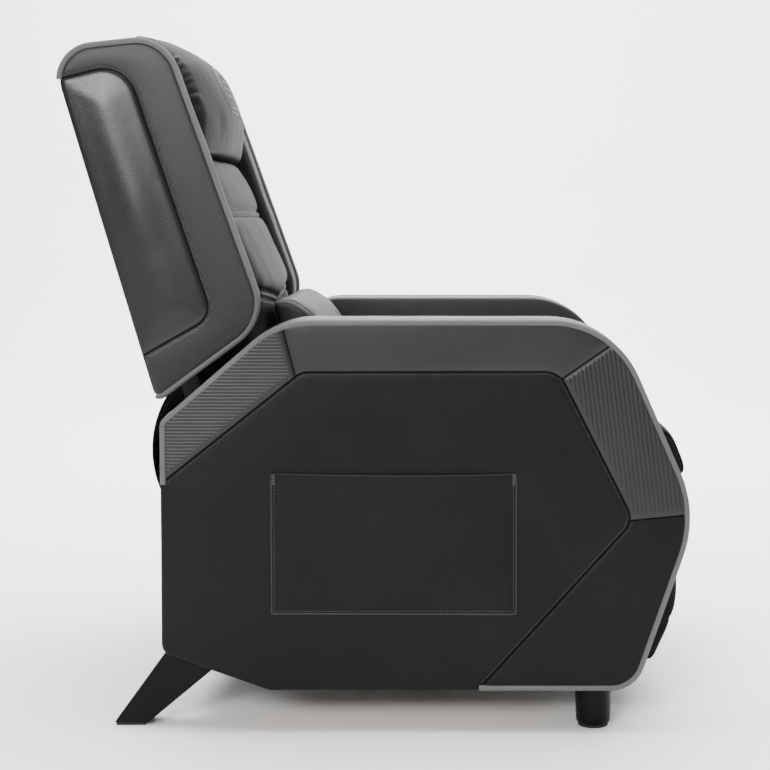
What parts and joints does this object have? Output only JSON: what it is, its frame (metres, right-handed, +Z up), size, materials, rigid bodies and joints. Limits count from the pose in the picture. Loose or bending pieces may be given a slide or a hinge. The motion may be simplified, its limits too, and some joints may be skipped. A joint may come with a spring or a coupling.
{
  "type": "reclining gaming armchair",
  "caption": "Push-back recliner armchair with padded side wings, headrest pillow, lumbar cushion, side pockets, sliding seat and fold-out leg rest on fixed legs.",
  "frame": {"origin": "on the floor, under the middle of the chair", "axes": "+X the way the sitter faces, +Y the sitter's left, +Z up"},
  "size_m": [0.972, 0.818, 1.0742],
  "materials": {
    "panel_leather": "satin black grained faux leather",
    "cushion_leather": "satin black smooth faux leather",
    "arm_leather": "satin black faux leather",
    "piping": "matte grey faux leather piping",
    "black_cloth": "matte black cloth",
    "webbing": "woven elastic webbing",
    "timber": "raw pine and plywood",
    "leg_black": "satin black lacquer",
    "glide": "matte",
    "frame_steel": "satin black powder coat",
    "bright_steel": "zinc plated"
  },
  "bodies": {
    "chassis": {"arm_bottom_rails": "timber", "arm_front_pad_left": "arm_leather", "arm_front_pad_right": "arm_leather", "arm_front_posts": "timber", "arm_lining_left": "arm_leather", "arm_lining_right": "arm_leather", "arm_rear_pad_left": "arm_leather", "arm_rear_pad_right": "arm_leather", "arm_rear_posts": "timber", "arm_top_pad_left": "arm_leather", "arm_top_pad_right": "arm_leather", "arm_top_rails": "timber", "chassis_cross_rails": "frame_steel", "front_leg_left": "leg_black", "front_leg_right": "leg_black", "leg_blocks": "timber", "leg_glides": "glide", "link_lower_pins": "bright_steel", "mechanism_plate_left": "frame_steel", "mechanism_plate_right": "frame_steel", "rear_leg_left": "leg_black", "rear_leg_right": "leg_black", "rear_panel": "black_cloth", "recline_pins": "bright_steel", "side_panel_left": "panel_leather", "side_panel_right": "panel_leather", "side_piping_left": "piping", "side_piping_right": "piping", "side_pocket_left": "panel_leather", "side_pocket_right": "panel_leather"},
    "backrest": {"back_uprights": "frame_steel", "back_cross_rails": "frame_steel", "back_webbing": "webbing", "recline_brackets": "frame_steel", "back_shell": "arm_leather", "back_skirt": "black_cloth", "wing_panel_left": "panel_leather", "wing_panel_right": "panel_leather", "wing_pad_left": "cushion_leather", "wing_pad_right": "cushion_leather", "wing_piping_left": "piping", "wing_piping_right": "piping", "back_cushion": "cushion_leather", "headrest": "cushion_leather", "lumbar_pillow": "cushion_leather"},
    "seat": {"seat_side_rails": "frame_steel", "seat_cross_rails": "frame_steel", "seat_webbing": "webbing", "seat_cushion": "cushion_leather", "footrest_brackets": "frame_steel", "footrest_pins": "bright_steel", "link_upper_pins": "bright_steel"},
    "front_links": {"front_links": "bright_steel"},
    "rear_links": {"rear_links": "bright_steel"},
    "footrest": {"footrest_board": "black_cloth", "footrest_pad": "cushion_leather", "footrest_plates": "frame_steel"}
  },
  "joints": [
    {"name": "recline", "type": "hinge", "parent": "chassis", "child": "backrest", "pos_m": [-0.19, 0, 0.41], "axis": [0, -1, 0], "range_deg": [0, 48]},
    {"name": "seat_slide", "type": "slide", "parent": "chassis", "child": "seat", "axis": [1, 0, 0], "range_m": [0, 0.06]},
    {"name": "front_link_swing", "type": "hinge", "parent": "chassis", "child": "front_links", "pos_m": [0.23, 0, 0.215], "axis": [0, 1, 0], "range_deg": [0, 29.46]},
    {"name": "rear_link_swing", "type": "hinge", "parent": "chassis", "child": "rear_links", "pos_m": [-0.07, 0, 0.215], "axis": [0, 1, 0], "range_deg": [0, 29.46]},
    {"name": "footrest_fold", "type": "hinge", "parent": "seat", "child": "footrest", "pos_m": [0.449, 0, 0.33], "axis": [0, -1, 0], "range_deg": [0, 86]}
  ],
  "couplings": [
    {"joint": "seat_slide", "follows": "recline", "m_per_rad": 0.071619},
    {"joint": "front_link_swing", "follows": "recline", "ratio": 0.61375},
    {"joint": "rear_link_swing", "follows": "recline", "ratio": 0.61375},
    {"joint": "footrest_fold", "follows": "recline", "ratio": 1.7917}
  ]
}
